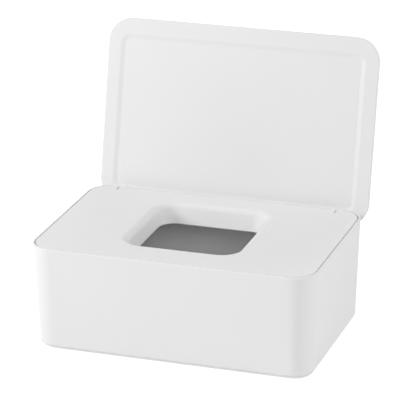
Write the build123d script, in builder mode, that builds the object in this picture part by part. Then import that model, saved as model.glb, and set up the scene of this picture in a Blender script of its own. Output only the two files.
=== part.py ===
from build123d import *
import os

os.makedirs("parts", exist_ok=True)

# Wipes dispenser: a box of white polypropylene with a lift-out cover and a flip lid.
# Millimetres, +Z up, the long side along X and the front towards -Y. The origin lies on the
# resting surface, under the centre of the tub. The lid is modelled as it stands open.

tolerance = 0.01

# Tub, measured at its rim
tub_length = 190.0
tub_depth = 123.6
tub_height = 69.4
tub_corner_radius = 15.6
tub_wall = 2.0
tub_floor = 2.4
draft = 2.5
bottom_edge_radius = 3.0
floor_radius = 4.0

# Rim lip and the ledge that carries the cover
lip_width = 1.3
rim_outer_radius = 0.85
rim_inner_radius = 0.2
ledge_width = 3.2
ledge_thickness = 1.2
shoulder_angle = 45.0

# Underside of the tub
base_land_width = 27.0
base_recess_depth = 0.6
base_panel_radius = 6.0
foot_radius = 6.0
foot_thickness = 1.8
foot_stand_off = 0.8
foot_edge_radius = 0.4
foot_inset = 17.0
foot_clearance = 0.1

# Cover plate
plate_thickness = 2.0
plate_edge_radius = 0.3
rim_gap = 0.8
skirt_height = 6.0
skirt_thickness = 1.6
skirt_clearance = 0.35
guide_rib_radius = 0.9
guide_rib_stand_out = 0.2
guide_spacing_x = 60.0
guide_spacing_y = 60.0
rib_thickness = 1.4
rib_height = 5.0
rib_spacing_x = 48.0
rib_spacing_y = 44.0

# Dispensing well, a funnel from the top of the plate down to the outlet. It lies a little
# behind the middle of the plate, and its front and rear walls slope more than the end walls.
well_centre_x = -1.2
well_centre_y = 2.3
well_length = 75.7
well_width = 77.9
well_corner_radius = 12.0
well_depth = 13.0
outlet_length = 71.4
outlet_width = 67.2
outlet_corner_radius = 11.0
well_wall = 2.0
well_lip_radius = 5.0
well_edge_radius = 0.6

# Hinge: two ears on the lid turn on pins between the cheeks of two knuckles under the plate
hinge_end_inset = 19.0
hinge_inset = 3.1
hinge_depth = 7.8
ear_thickness = 2.0
ear_side_clearance = 0.3
hub_radius = 3.0
fan_radius = 7.4
fan_start = -56.0
fan_end = 52.0
slot_clearance = 0.3
slot_front = 5.1
cheek_thickness = 3.0
knuckle_front = 2.9
knuckle_drop = 7.0
knuckle_inset = 0.2
knuckle_radius = 2.0
stop_length = 3.9
stop_clearance = 0.3
notch_clearance = 0.35
pin_radius = 1.2
pin_push_clearance = 0.02
pin_running_clearance = 0.05
pin_chamfer = 0.3
pin_end_gap = 0.2
ear_root = 2.0

# Lid
lid_overhang = 0.7
lid_length_shortfall = 0.8
lid_thickness = 4.5
lid_corner_radius = 16.2
lid_outer_edge_radius = 1.5
lid_inner_edge_radius = 0.5
lid_rest_gap = 0.3
open_angle = 104.1
panel_side_border = 8.8
panel_free_border = 10.8
panel_hinge_border = 9.0
panel_recess = 0.8
panel_step_angle = 75.0
panel_corner_radius = 7.0
relief_width = 7.0
relief_depth = 0.6

# Levels and places that follow from the sizes above
base_z = foot_stand_off
rim_z = base_z + tub_height
floor_z = base_z + tub_floor
seat_z = rim_z - plate_thickness
ledge_under_z = seat_z - ledge_thickness
ledge_inset = lip_width + ledge_width
skirt_inset = ledge_inset + skirt_clearance
plate_inset = lip_width + rim_gap
guide_x = tub_length / 2 - skirt_inset - guide_rib_radius + guide_rib_stand_out
guide_y = tub_depth / 2 - skirt_inset - guide_rib_radius + guide_rib_stand_out
slope = Vector(0, 0, 1).rotate(Axis.X, draft)
draft_ratio = abs(slope.Y / slope.Z)
shoulder_height = (ledge_inset - tub_wall) / (1 + draft_ratio)
shoulder_z = ledge_under_z - shoulder_height
well_bottom_z = rim_z - well_depth

base_inset = tub_height * draft_ratio
base_panel_length = tub_length - 2 * (base_inset + base_land_width)
base_panel_depth = tub_depth - 2 * (base_inset + base_land_width)
foot_x = tub_length / 2 - base_inset - foot_inset
foot_y = tub_depth / 2 - base_inset - foot_inset
foot_centres = {
    "front_left": (-foot_x, -foot_y),
    "front_right": (foot_x, -foot_y),
    "rear_left": (-foot_x, foot_y),
    "rear_right": (foot_x, foot_y),
}

hinge_x = tub_length / 2 - hinge_end_inset
hinge_y = tub_depth / 2 - hinge_inset
hinge_z = rim_z - hinge_depth
hinge_centres = {"left": -hinge_x, "right": hinge_x}
slot_width = ear_thickness + 2 * ear_side_clearance
slot_round_y = hinge_y - slot_front + slot_width / 2
knuckle_width = slot_width + 2 * cheek_thickness
knuckle_bottom_z = hinge_z - knuckle_drop
pin_length = knuckle_width - 2 * pin_end_gap
notch_width = knuckle_width + 2 * notch_clearance
notch_bottom_z = knuckle_bottom_z - notch_clearance
notch_front_y = tub_depth / 2 - ledge_inset - tub_wall

knuckle_front_y = hinge_y - knuckle_front
knuckle_rear_y = tub_depth / 2 - knuckle_inset
knuckle_foot_y = knuckle_rear_y - (rim_z - knuckle_bottom_z) * draft_ratio
knuckle_profile = [
    (knuckle_front_y, knuckle_bottom_z),
    (knuckle_foot_y, knuckle_bottom_z),
    (knuckle_rear_y, rim_z),
    (knuckle_front_y, rim_z),
]

lid_length = tub_length - 2 * lid_length_shortfall
lid_depth = tub_depth + 2 * lid_overhang
lid_height_over_hinge = hinge_depth + lid_rest_gap
hinge_to_lid_edge = hinge_inset + lid_overhang
lid_up = Vector(0, -1, 0).rotate(Axis.X, -open_angle)
lid_outward = Vector(0, 0, 1).rotate(Axis.X, -open_angle)
closed_edge = Vector(0, hinge_to_lid_edge, lid_height_over_hinge)
lid_edge = Vector(0, hinge_y, hinge_z) + closed_edge.rotate(Axis.X, -open_angle)
lid_inner_face = Plane(origin=lid_edge, x_dir=(-1, 0, 0), z_dir=lid_outward)

# The open stops: the underside of each ear leans on them, so they slope as it does
stop_front_y = knuckle_foot_y - stop_length


def stop_level(y):
    """Height of a hinge stop, just under the ear of the open lid."""
    below_hub = hub_radius / lid_up.Z + stop_clearance / lid_up.Z
    return hinge_z - below_hub + (y - hinge_y) * lid_outward.Z / lid_outward.Y


stop_profile = [
    (stop_front_y, knuckle_bottom_z),
    (knuckle_foot_y, knuckle_bottom_z),
    (knuckle_foot_y, stop_level(knuckle_foot_y)),
    (stop_front_y, stop_level(stop_front_y)),
]


def facing_down(level):
    """A plane at a level whose sketches are extruded downwards."""
    return Plane(origin=(0, 0, level), z_dir=(0, 0, -1))


def tub_outline(inset, level, mode=Mode.ADD):
    """Outline of the tub at a level, moved inwards from the outer wall."""
    inwards = inset + (rim_z - level) * draft_ratio
    RectangleRounded(
        tub_length - 2 * inwards,
        tub_depth - 2 * inwards,
        tub_corner_radius - inwards,
        mode=mode,
    )


def rim_outline(inset, mode=Mode.ADD):
    """Outline of the rim, moved inwards, for walls that stand upright."""
    tub_outline(inset, rim_z, mode)


def edges_at(part, level):
    """Edges that lie flat at one level."""
    return part.edges().filter_by_position(Axis.Z, level - tolerance, level + tolerance)


def top_face(part):
    """The face that lies highest."""
    return part.faces().sort_by(Axis.Z)[-1]


def near_well(edges, axis, centre, width):
    """The edges that lie within the dispensing well's reach along one axis."""
    reach = width / 2 + well_wall + well_lip_radius
    return edges.filter_by_position(axis, centre - reach, centre + reach)


def well_edges(part, level):
    """Edges of the dispensing well that lie flat at one level."""
    near_x = near_well(edges_at(part, level), Axis.X, well_centre_x, well_length)
    return near_well(near_x, Axis.Y, well_centre_y, well_width)


def rounded_well_outline(length, width, corner_radius):
    """A rounded rectangle about the centre of the dispensing well."""
    with Locations((well_centre_x, well_centre_y)):
        RectangleRounded(length, width, corner_radius)


def well_funnel(wall):
    """The funnel from the top of the plate to the outlet, thickened outwards by a wall."""
    with BuildPart() as funnel:
        with BuildSketch(Plane.XY.offset(rim_z)):
            rounded_well_outline(
                well_length + 2 * wall, well_width + 2 * wall, well_corner_radius + wall
            )
        with BuildSketch(Plane.XY.offset(well_bottom_z)):
            rounded_well_outline(
                outlet_length + 2 * wall, outlet_width + 2 * wall, outlet_corner_radius + wall
            )
        loft()
    return funnel.part


# Hollow of the tub: room for the wipes, sloping shoulder, ledge opening and cover seat
with BuildPart() as tub_hollow:
    with BuildSketch(Plane.XY.offset(floor_z)):
        tub_outline(tub_wall, floor_z)
    extrude(amount=shoulder_z - floor_z, taper=-draft)
    fillet(edges_at(tub_hollow, floor_z), floor_radius)
    with BuildSketch(Plane.XY.offset(shoulder_z)):
        tub_outline(tub_wall, shoulder_z)
    extrude(amount=shoulder_height, taper=shoulder_angle)
    with BuildSketch(Plane.XY.offset(ledge_under_z)):
        rim_outline(ledge_inset)
    extrude(amount=ledge_thickness)
    with BuildSketch(Plane.XY.offset(seat_z)):
        rim_outline(lip_width)
    extrude(amount=plate_thickness)

# Tub
with BuildPart() as tub:
    with BuildSketch(facing_down(rim_z)):
        rim_outline(0)
    extrude(amount=tub_height, taper=draft)
    fillet(edges_at(tub, base_z), bottom_edge_radius)
    add(tub_hollow.part, mode=Mode.SUBTRACT)
    fillet(top_face(tub).outer_wire().edges(), rim_outer_radius)
    fillet(top_face(tub).inner_wires()[0].edges(), rim_inner_radius)
    # Recessed panel and the four foot pockets underneath
    with BuildSketch(Plane.XY.offset(base_z)):
        RectangleRounded(base_panel_length, base_panel_depth, base_panel_radius)
    extrude(amount=base_recess_depth, mode=Mode.SUBTRACT)
    with BuildSketch(Plane.XY.offset(base_z)):
        with Locations(*foot_centres.values()):
            Circle(foot_radius + foot_clearance)
    extrude(amount=foot_thickness - foot_stand_off, mode=Mode.SUBTRACT)
    # Open notches in the rear wall for the hinge knuckles
    with BuildSketch(Plane.XZ.offset(-notch_front_y)):
        with Locations(*[(x, notch_bottom_z) for x in hinge_centres.values()]):
            Rectangle(notch_width, tub_height, align=(Align.CENTER, Align.MIN))
    extrude(amount=notch_front_y - tub_depth / 2, mode=Mode.SUBTRACT)
tub.part.label = "tub"
export_step(tub.part, "parts/tub.step")

# Foot pads, each in its own pocket
for place, (x, y) in foot_centres.items():
    with BuildPart() as foot_pad:
        with BuildSketch(Plane.XY):
            with Locations((x, y)):
                Circle(foot_radius)
        extrude(amount=foot_thickness)
        fillet(edges_at(foot_pad, 0), foot_edge_radius)
    foot_pad.part.label = f"foot_pad_{place}"
    export_step(foot_pad.part, f"parts/foot_pad_{place}.step")

# Dispensing well: the block that carries it, and the space inside
well_block = well_funnel(well_wall)
well_space = well_funnel(0)

# Stiffening ribs from the skirt to the well
with BuildPart() as cover_ribs:
    with BuildSketch(facing_down(seat_z)):
        with GridLocations(rib_spacing_x, 0, 2, 1):
            Rectangle(rib_thickness, tub_depth - 2 * skirt_inset)
        with GridLocations(0, rib_spacing_y, 1, 2):
            Rectangle(tub_length - 2 * skirt_inset, rib_thickness)
    extrude(amount=rib_height)
    add(well_block, mode=Mode.SUBTRACT)

# Cover plate
with BuildPart() as cover_plate:
    with BuildSketch(Plane.XY.offset(seat_z)):
        rim_outline(plate_inset)
    extrude(amount=plate_thickness)
    fillet(edges_at(cover_plate, rim_z), plate_edge_radius)
    # The well, with its soft lip rolled over on both faces of the wall
    add(well_block)
    fillet(well_edges(cover_plate, seat_z), well_lip_radius - well_wall)
    add(well_space, mode=Mode.SUBTRACT)
    fillet(well_edges(cover_plate, rim_z), well_lip_radius)
    fillet(well_edges(cover_plate, well_bottom_z), well_edge_radius)
    # Skirt that drops inside the ledge, its guide ribs and the stiffening ribs
    with BuildSketch(facing_down(seat_z)):
        rim_outline(skirt_inset)
        rim_outline(skirt_inset + skirt_thickness, Mode.SUBTRACT)
    extrude(amount=skirt_height)
    with BuildSketch(facing_down(seat_z)):
        with GridLocations(guide_spacing_x, 2 * guide_y, 3, 2):
            Circle(guide_rib_radius)
        with GridLocations(2 * guide_x, guide_spacing_y, 2, 2):
            Circle(guide_rib_radius)
    extrude(amount=skirt_height)
    add(cover_ribs.part)
    # Hinge knuckles with their slots, open stops and pin bores
    for x in hinge_centres.values():
        with BuildSketch(Plane.YZ.offset(x - knuckle_width / 2)) as knuckle_side:
            Polygon(*knuckle_profile, align=None)
            front_corner = knuckle_side.vertices().group_by(Axis.Y)[0].sort_by(Axis.X)[0]
            fillet(front_corner, knuckle_radius)
        extrude(amount=knuckle_width)
        with BuildSketch(Plane.YZ.offset(x - slot_width / 2)):
            with Locations((hinge_y, hinge_z)):
                Circle(fan_radius + slot_clearance)
                Rectangle(
                    2 * (hub_radius + slot_clearance),
                    2 * hinge_depth,
                    align=(Align.CENTER, Align.MIN),
                )
        extrude(amount=slot_width, mode=Mode.SUBTRACT)
        # The slot runs on through the plate to a round front end
        with BuildSketch(Plane.XY.offset(rim_z)):
            with Locations((x, slot_round_y)):
                Circle(slot_width / 2)
                Rectangle(slot_width, hinge_y - slot_round_y, align=(Align.CENTER, Align.MIN))
        extrude(amount=-plate_thickness, mode=Mode.SUBTRACT)
        with BuildSketch(Plane.YZ.offset(x - knuckle_width / 2)):
            Polygon(*stop_profile, align=None)
        extrude(amount=knuckle_width)
        with BuildSketch(Plane.YZ.offset(x - knuckle_width / 2)):
            with Locations((hinge_y, hinge_z)):
                Circle(pin_radius + pin_push_clearance)
        extrude(amount=knuckle_width, mode=Mode.SUBTRACT)
cover_plate.part.label = "cover_plate"
export_step(cover_plate.part, "parts/cover_plate.step")

# Hinge pins
for side, x in hinge_centres.items():
    with BuildPart() as hinge_pin:
        with BuildSketch(Plane.YZ.offset(x - pin_length / 2)):
            with Locations((hinge_y, hinge_z)):
                Circle(pin_radius)
        extrude(amount=pin_length)
        chamfer(hinge_pin.edges().filter_by(GeomType.CIRCLE), pin_chamfer)
    hinge_pin.part.label = f"hinge_pin_{side}"
    export_step(hinge_pin.part, f"parts/hinge_pin_{side}.step")

# Lid, modelled on its inner face as it leans back against the hinge stops
with BuildPart() as lid:
    with BuildSketch(lid_inner_face):
        with Locations((0, lid_depth / 2)):
            RectangleRounded(lid_length, lid_depth, lid_corner_radius)
    extrude(amount=lid_thickness)
    across = Axis(lid_edge, lid_outward)
    fillet(lid.faces().sort_by(across)[-1].edges(), lid_outer_edge_radius)
    fillet(lid.faces().sort_by(across)[0].edges(), lid_inner_edge_radius)
    # Shallow panel pressed into the inner face
    with BuildSketch(lid_inner_face):
        with Locations((0, (panel_hinge_border + lid_depth - panel_free_border) / 2)):
            RectangleRounded(
                lid_length - 2 * panel_side_border,
                lid_depth - panel_hinge_border - panel_free_border,
                panel_corner_radius,
            )
    extrude(amount=panel_recess, taper=panel_step_angle, mode=Mode.SUBTRACT)
    # Relief along the hinge edge, which passes close over the rim as the lid turns
    with BuildSketch(lid_inner_face):
        Rectangle(lid_length, relief_width, align=(Align.CENTER, Align.MIN))
    extrude(amount=relief_depth, mode=Mode.SUBTRACT)
    # Ears: a hub on the pin, a web to the lid and a fan that keeps the slot filled
    for x in hinge_centres.values():
        ear_side = Plane(
            origin=(x - ear_thickness / 2, hinge_y, hinge_z),
            x_dir=lid_up,
            z_dir=(1, 0, 0),
        )
        with BuildSketch(ear_side):
            Circle(hub_radius)
            Rectangle(
                2 * hub_radius,
                lid_height_over_hinge + ear_root,
                align=(Align.CENTER, Align.MAX),
            )
            with BuildLine():
                arc = CenterArc((0, 0), fan_radius, fan_start, fan_end - fan_start)
                Line(arc @ 1, (0, 0))
                Line((0, 0), arc @ 0)
            make_face()
            Circle(pin_radius + pin_running_clearance, mode=Mode.SUBTRACT)
        extrude(amount=ear_thickness)
lid.part.label = "lid"
export_step(lid.part, "parts/lid.step")
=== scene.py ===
# %% [markdown]
# # A wipes dispenser in white polypropylene
#
# The object is a low rectangular box with a lift-out cover and a flip lid that stands open.
# Every part of it is moulded plastic with real walls, so the CAD solids already are the pieces
# that one sees. This script leaves their shapes alone. It gives each of them the finish that
# its material has, sets them on a pale floor under soft light, and places the camera.

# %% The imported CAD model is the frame
import math

import bpy
from mathutils import Matrix, Vector

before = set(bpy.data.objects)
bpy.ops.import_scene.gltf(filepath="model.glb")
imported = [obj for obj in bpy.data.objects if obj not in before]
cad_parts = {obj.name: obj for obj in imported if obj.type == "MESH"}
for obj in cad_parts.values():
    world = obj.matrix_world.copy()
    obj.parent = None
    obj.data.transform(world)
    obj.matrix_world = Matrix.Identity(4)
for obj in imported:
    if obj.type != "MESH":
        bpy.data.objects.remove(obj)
bpy.context.view_layer.update()

MM = 0.001
print("nodes:", sorted(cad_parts))

# %% [markdown]
# ## The camera
#
# The photograph was taken from a little to the right of the front and from slightly above,
# with a long lens, which is why the edges hardly converge. The angles below are those that
# lay the box's own outline over the one in the picture. A camera is turned most safely by
# its three axes: "back" points from the object to the camera, and the other two follow.

# %% The camera of the photograph
IMAGE_WIDTH = 416
SENSOR_WIDTH = 36.0
FOCAL_PIXELS = 2544.7
AZIMUTH = math.radians(19.17)
ELEVATION = math.radians(20.74)
ROLL = math.radians(-0.76)
DISTANCE = 1631.8 * MM
TARGET = Vector((6.9, 0.0, 85.5)) * MM
CLIP_END = 20.0


def away(turn, rise):
    """The direction from the object that is turned to the right of its front and raised."""
    across = math.cos(rise)
    return Vector((math.sin(turn) * across, -math.cos(turn) * across, math.sin(rise)))


def camera_axes():
    """The camera's right, up and back directions."""
    back = away(AZIMUTH, ELEVATION)
    level = Vector((math.cos(AZIMUTH), math.sin(AZIMUTH), 0.0))
    upright = back.cross(level)
    right = level * math.cos(ROLL) + upright * math.sin(ROLL)
    return right, back.cross(right), back


right, up, back = camera_axes()
camera = bpy.data.objects.new("camera", bpy.data.cameras.new("camera"))
camera.data.sensor_width = SENSOR_WIDTH
camera.data.lens = FOCAL_PIXELS / IMAGE_WIDTH * SENSOR_WIDTH
camera.data.clip_end = CLIP_END
turned = Matrix((right, up, back)).transposed().to_4x4()
camera.matrix_world = Matrix.Translation(TARGET + back * DISTANCE) @ turned
bpy.context.scene.collection.objects.link(camera)
bpy.context.scene.camera = camera
print("camera lens:", round(camera.data.lens, 1), "mm")

# %% [markdown]
# ## Shader maths in Python
#
# A material is a small program drawn as nodes. Written out one node at a time it is hard to
# read, so a socket is wrapped in a class that knows how to add and multiply: then
# `0.4 + 0.1 * speckle` adds its own Math nodes. Every other node comes from one method.


# %% A socket that Python can calculate with
class Wire:
    """An output of a shader node. Sums and products add Math nodes."""

    def __init__(self, tree, socket=None):
        self.tree = tree
        self.socket = socket

    def node(self, kind, settings, sockets, output=0):
        """Adds a node: its settings first, then its sockets, by name or by number."""
        made = self.tree.nodes.new("ShaderNode" + kind)
        for name, value in settings.items():
            setattr(made, name, value)
        for name, value in sockets.items():
            if isinstance(value, Wire):
                self.tree.links.new(value.socket, made.inputs[name])
            else:
                made.inputs[name].default_value = value
        return Wire(self.tree, made.outputs[output]) if made.outputs else None

    def math(self, operation, *values):
        return self.node("Math", {"operation": operation}, dict(enumerate(values)))

    def __add__(self, other):
        return self.math("ADD", self, other)

    def __radd__(self, other):
        return self.math("ADD", other, self)

    def __mul__(self, other):
        return self.math("MULTIPLY", self, other)

    def __rmul__(self, other):
        return self.math("MULTIPLY", other, self)


def grey(level):
    """A neutral colour."""
    return (level, level, level, 1.0)


def empty_tree(owner):
    """The owner's node tree, cleared, as a Wire to build from."""
    owner.use_nodes = True
    owner.node_tree.nodes.clear()
    return Wire(owner.node_tree)


def seen_directly(graph):
    """1 for what the camera, a reflection or a clear piece shows, and 0 for plain bounces."""
    camera_ray = graph.node("LightPath", {}, {}, "Is Camera Ray")
    glossy_ray = graph.node("LightPath", {}, {}, "Is Glossy Ray")
    clear_ray = graph.node("LightPath", {}, {}, "Is Transmission Ray")
    mirrored = graph.math("MAXIMUM", glossy_ray, clear_ray)
    return graph.math("MAXIMUM", camera_ray, mirrored)


# %% [markdown]
# ## Floor, backdrop and light
#
# The picture is a catalogue shot: pure white all round, with soft light from both sides and
# more of it from the left. The corner of the well that faces neither side stays darkest. A
# white sky fills in the rest. It shines at a plain level on the object, and where the camera
# sees it directly it is white. The floor is treated in the same way, but its glow is added to
# its own lit colour, so that the box still stands in a faint shadow.

# %% A white sky
SKY_LEVEL = 0.45
WHITE = grey(1.0)

world = bpy.data.worlds.new("white_sky")
bpy.context.scene.world = world
sky = empty_tree(world)
sky_strength = SKY_LEVEL + (1.0 - SKY_LEVEL) * seen_directly(sky)
sky_light = sky.node("Background", {}, {"Color": WHITE, "Strength": sky_strength})
sky.node("OutputWorld", {}, {"Surface": sky_light})
print("sky level:", SKY_LEVEL)

# %% A pale floor that keeps the shadow
FLOOR_SIZE = 8.0
FLOOR_COLOUR = grey(0.85)
FLOOR_GLOW = 0.58

bpy.ops.object.select_all(action="DESELECT")
bpy.ops.mesh.primitive_plane_add(size=FLOOR_SIZE)
floor = bpy.context.object
floor.name = "floor"

pale = bpy.data.materials.new("pale_floor")
ground = empty_tree(pale)
lit = ground.node("BsdfDiffuse", {}, {"Color": FLOOR_COLOUR})
glow = ground.node("Emission", {}, {"Strength": FLOOR_GLOW * seen_directly(ground)})
both = ground.node("AddShader", {}, {0: lit, 1: glow})
ground.node("OutputMaterial", {}, {"Surface": both})
floor.data.materials.append(pale)
print("floor:", FLOOR_SIZE, "m square")

# %% Soft boxes
# name: (degrees to the right of the front, degrees up, distance in m, side in m, watts)
SOFT_BOXES = {
    "key_left": (-60, 24, 1.3, 0.5, 8.4),
    "front_right": (35, 32, 1.3, 0.5, 2.6),
    "right": (100, 30, 1.3, 0.5, 3.3),
    "rear": (180, 25, 1.3, 0.8, 2.5),
}


def soft_box(name, turn, rise, distance, side, watts):
    """A square area light that faces the middle of the object."""
    outwards = away(math.radians(turn), math.radians(rise))
    box = bpy.data.objects.new(name, bpy.data.lights.new(name, "AREA"))
    box.data.size = side
    box.data.energy = watts
    box.location = TARGET + outwards * distance
    box.rotation_euler = outwards.to_track_quat("Z", "Y").to_euler()
    bpy.context.scene.collection.objects.link(box)


for name, placing in SOFT_BOXES.items():
    soft_box(name, *placing)
print("soft boxes:", len(SOFT_BOXES))

bpy.context.scene.view_settings.view_transform = "Standard"

# %% [markdown]
# ## Moulded polypropylene
#
# The tub, the cover and the lid come out of steel moulds whose faces are finely spark-eroded,
# which gives the plastic its even satin look. Close up it has a grain of a fraction of a
# millimetre, and over a hand's width the shine changes a little where the melt cooled more
# slowly. Two noises do this: a fine one that only tilts the surface, and a slow one that
# moves the colour and the roughness by a few hundredths.

# %% The satin plastic
GRAIN_SIZE = 0.45 * MM
GRAIN_HEIGHT = 0.012 * MM
FLOW_SIZE = 60 * MM
FLOW_TONE = 0.012
FLOW_SHINE = 0.08
MIX_LOW, MIX_HIGH, MIX_COLOUR = 6, 7, 2


def finish_node(graph, base, roughness, normal, **constants):
    """The Principled shader at the end of a finish. Constants go on its own sockets."""
    sockets = {"Base Color": base, "Roughness": roughness, "Normal": normal, **constants}
    shader = graph.node("BsdfPrincipled", {}, sockets)
    graph.node("OutputMaterial", {}, {"Surface": shader})


def noise(graph, coordinates, feature_size, detail):
    """Noise between 0 and 1 whose blobs are about as wide as the feature size."""
    return graph.node("TexNoise", {}, {
        "Vector": coordinates, "Scale": 1.0 / feature_size, "Detail": detail,
    })


def between(graph, factor, low, high):
    """A colour between two others. A Mix node's colour sockets go by their numbers."""
    return graph.node("Mix", {"data_type": "RGBA"}, {
        "Factor": factor, MIX_LOW: low, MIX_HIGH: high,
    }, MIX_COLOUR)


def moulded_plastic(name, tone, roughness):
    """White satin plastic as it leaves a spark-eroded mould."""
    material = bpy.data.materials.new(name)
    graph = empty_tree(material)
    place = graph.node("TexCoord", {}, {}, "Object")
    flow = noise(graph, place, FLOW_SIZE, 2.0)
    grain = noise(graph, place, GRAIN_SIZE, 1.0)
    tilted = graph.node("Bump", {}, {"Height": grain, "Distance": GRAIN_HEIGHT})
    colour = between(graph, flow, grey(tone - FLOW_TONE), grey(tone + FLOW_TONE))
    shine = roughness - FLOW_SHINE / 2 + FLOW_SHINE * flow
    finish_node(graph, colour, shine, tilted)
    print("plastic", name, "tone", tone)
    return material


# %% [markdown]
# ## Steel pins and silicone feet
#
# The two hinge pins are cut from drawn steel wire, so their fine scratches run along the pin.
# The feet are soft silicone: dull, a little grey, and never perfectly even.

# %% The metal and the rubber
SCRATCH_SIZE = 0.15 * MM
SCRATCH_STRETCH = 0.02
STEEL = (0.60, 0.60, 0.62, 1.0)
STEEL_ROUGHNESS = 0.25
SCRATCH_ROUGHNESS = 0.2
SPECK_SIZE = 0.8 * MM
SPECK_TONE = 0.8
RUBBER_ROUGHNESS = 0.6
SPECK_ROUGHNESS = 0.15


def drawn_steel(name):
    """Steel wire with scratches along X."""
    material = bpy.data.materials.new(name)
    graph = empty_tree(material)
    place = graph.node("TexCoord", {}, {}, "Object")
    along = graph.node("Mapping", {}, {"Vector": place, "Scale": (SCRATCH_STRETCH, 1.0, 1.0)})
    scratches = noise(graph, along, SCRATCH_SIZE, 2.0)
    tilted = graph.node("Bump", {}, {"Height": scratches, "Distance": GRAIN_HEIGHT})
    shine = STEEL_ROUGHNESS + SCRATCH_ROUGHNESS * scratches
    finish_node(graph, STEEL, shine, tilted, Metallic=1.0)
    return material


def silicone(name, tone):
    """Dull pale rubber with faint specks."""
    material = bpy.data.materials.new(name)
    graph = empty_tree(material)
    place = graph.node("TexCoord", {}, {}, "Object")
    specks = noise(graph, place, SPECK_SIZE, 3.0)
    tilted = graph.node("Bump", {}, {"Height": specks, "Distance": GRAIN_HEIGHT})
    colour = between(graph, specks, grey(SPECK_TONE * tone), grey(tone))
    finish_node(graph, colour, RUBBER_ROUGHNESS + SPECK_ROUGHNESS * specks, tilted)
    return material


# %% Each CAD node gets its finish
def dress(node_name, material):
    """Puts one material in every slot of a CAD node."""
    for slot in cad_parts[node_name].material_slots:
        slot.material = material


# The three parts are one and the same plastic. The lid's lower tone is painted shade, and the
# cover's slightly higher tone is painted light, standing in for how the light falls on each
# part.
dress("tub", moulded_plastic("tub_plastic", 0.85, 0.52))
dress("cover_plate", moulded_plastic("cover_plastic", 0.855, 0.55))
dress("lid", moulded_plastic("lid_plastic", 0.835, 0.52))
steel = drawn_steel("drawn_steel")
rubber = silicone("silicone", 0.5)
for node_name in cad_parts:
    if node_name.startswith("hinge_pin"):
        dress(node_name, steel)
    if node_name.startswith("foot_pad"):
        dress(node_name, rubber)

# %% [markdown]
#
# Looks must not change the size.

# %% The view layer is brought up to date
bpy.context.view_layer.update()
